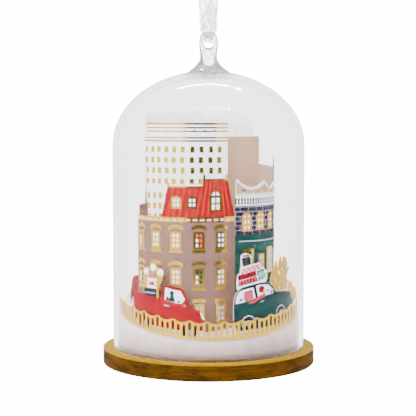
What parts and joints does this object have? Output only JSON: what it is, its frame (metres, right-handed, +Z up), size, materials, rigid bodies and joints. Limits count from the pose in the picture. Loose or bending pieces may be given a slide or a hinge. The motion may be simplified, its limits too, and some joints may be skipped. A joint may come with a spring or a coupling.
{
  "type": "christmas ornament",
  "caption": "Glass cloche Christmas ornament: a curved paper city street in snow under a clear dome on a round wooden base, hung by an organza ribbon.",
  "frame": {"origin": "the hanging point: the top of the ribbon's knot, which the ornament hangs from", "axes": "+Z up along the dome's axis, -Y the front of the street, +X to the viewer's right"},
  "size_m": [0.0772, 0.0772, 0.1437],
  "materials": {
    "wood": "satin",
    "gilt_card": "satin",
    "glass": "polished",
    "clear_glue": "gloss",
    "snow": "matte",
    "gold_foil_card": "satin",
    "printed_card": "matte",
    "white_card": "matte",
    "organza": "satin"
  },
  "bodies": {
    "knot": {"ribbon_knot": "organza"},
    "ribbon": {"hanging_ribbon": "organza"},
    "ornament": {"wooden_base": "wood", "gilt_card": "gilt_card", "glass_dome": "glass", "glass_hanger": "glass", "glue_bead": "clear_glue", "snow_block": "snow", "picket_fence": "gold_foil_card", "truck_sheet": "printed_card", "car_sheet": "printed_card", "gold_tree_sheet": "gold_foil_card", "brownstone_sheet": "printed_card", "shop_sheet": "printed_card", "white_tower_sheet": "white_card", "taupe_tower_sheet": "printed_card", "skyline_sheet": "white_card", "rear_townhouse_sheet": "printed_card", "rear_terrace_sheet": "printed_card", "rear_van_sheet": "printed_card"}
  },
  "joints": [
    {"name": "ribbon_twist", "type": "hinge", "parent": "knot", "child": "ribbon", "pos_m": [0, 0, -0.006], "axis": [0, 0, 1], "range_deg": [-180, 180], "stiffness_Nm_per_rad": 0.0004},
    {"name": "eye_swing", "type": "hinge", "parent": "ribbon", "child": "ornament", "pos_m": [0, 0, -0.0255], "axis": [1, 0, 0], "range_deg": [-60, 60]}
  ]
}
